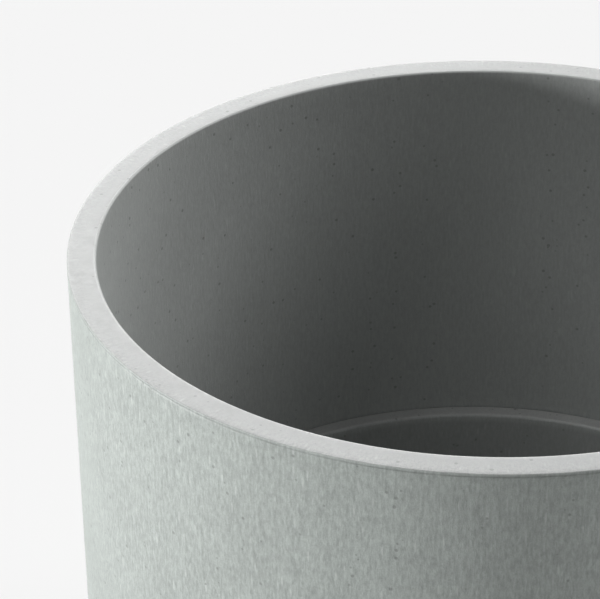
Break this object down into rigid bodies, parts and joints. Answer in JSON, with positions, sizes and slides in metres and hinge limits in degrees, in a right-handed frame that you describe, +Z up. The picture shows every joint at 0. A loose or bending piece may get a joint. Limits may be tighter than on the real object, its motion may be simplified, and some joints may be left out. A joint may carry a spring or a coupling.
{
  "type": "self-watering planter",
  "caption": "Cylindrical composite planter with a lift-out soil insert over a water reservoir: perforated tray, wicking baskets, filling tube with hinged cap, float gauge, plugged overflow.",
  "frame": {"origin": "on the standing surface, under the centre of the round pot", "axes": "+Z up, along the pot's axis; +X towards the filling tube; +Y towards the overflow plug; the picture looks along +Y, down into the pot, from the -Y side"},
  "size_m": [0.3, 0.3, 0.27],
  "materials": {
    "composite": "matte moulded composite of recycled plastic, stone powder and wood fibre, with pale fibre streaks and dark specks",
    "dark_plastic": "fine-textured dark grey polypropylene",
    "soft_rubber": "soft black rubber",
    "clear_plastic": "clear acrylic tube with a domed end",
    "float_foam": "closed-cell foam, white",
    "white_plastic": "smooth white plastic rod",
    "marker_red": "glossy red plastic",
    "stainless_steel": "drawn stainless wire"
  },
  "bodies": {
    "pot": {"planter_pot": "composite", "foot_pads": "soft_rubber", "overflow_fitting": "dark_plastic", "overflow_gasket": "soft_rubber", "overflow_nut": "dark_plastic"},
    "plug": {"overflow_plug": "soft_rubber", "plug_seal": "soft_rubber"},
    "insert": {"insert_tray": "composite", "support_posts": "dark_plastic", "wicking_basket_1": "dark_plastic", "wicking_basket_2": "dark_plastic", "wicking_basket_3": "dark_plastic", "fill_tube": "dark_plastic", "fill_collar": "dark_plastic", "cap_hinge_pin": "stainless_steel", "gauge_tube": "dark_plastic", "gauge_guide": "dark_plastic", "sight_glass": "clear_plastic", "float_cage": "dark_plastic", "tube_bracket": "dark_plastic"},
    "cap": {"fill_cap": "dark_plastic"},
    "float": {"gauge_float": "float_foam", "float_rod": "white_plastic", "float_marker": "marker_red"}
  },
  "joints": [
    {"name": "plug_pull", "type": "slide", "parent": "pot", "child": "plug", "axis": [0, 1, 0], "range_m": [0, 0.03]},
    {"name": "insert_lift", "type": "slide", "parent": "pot", "child": "insert", "axis": [0, 0, 1], "range_m": [0, 0.26]},
    {"name": "cap_hinge", "type": "hinge", "parent": "insert", "child": "cap", "pos_m": [0.125, 0, 0.238], "axis": [0, 1, 0], "range_deg": [0, 110]},
    {"name": "float_rise", "type": "slide", "parent": "insert", "child": "float", "axis": [0, 0, 1], "range_m": [0, 0.03]}
  ]
}
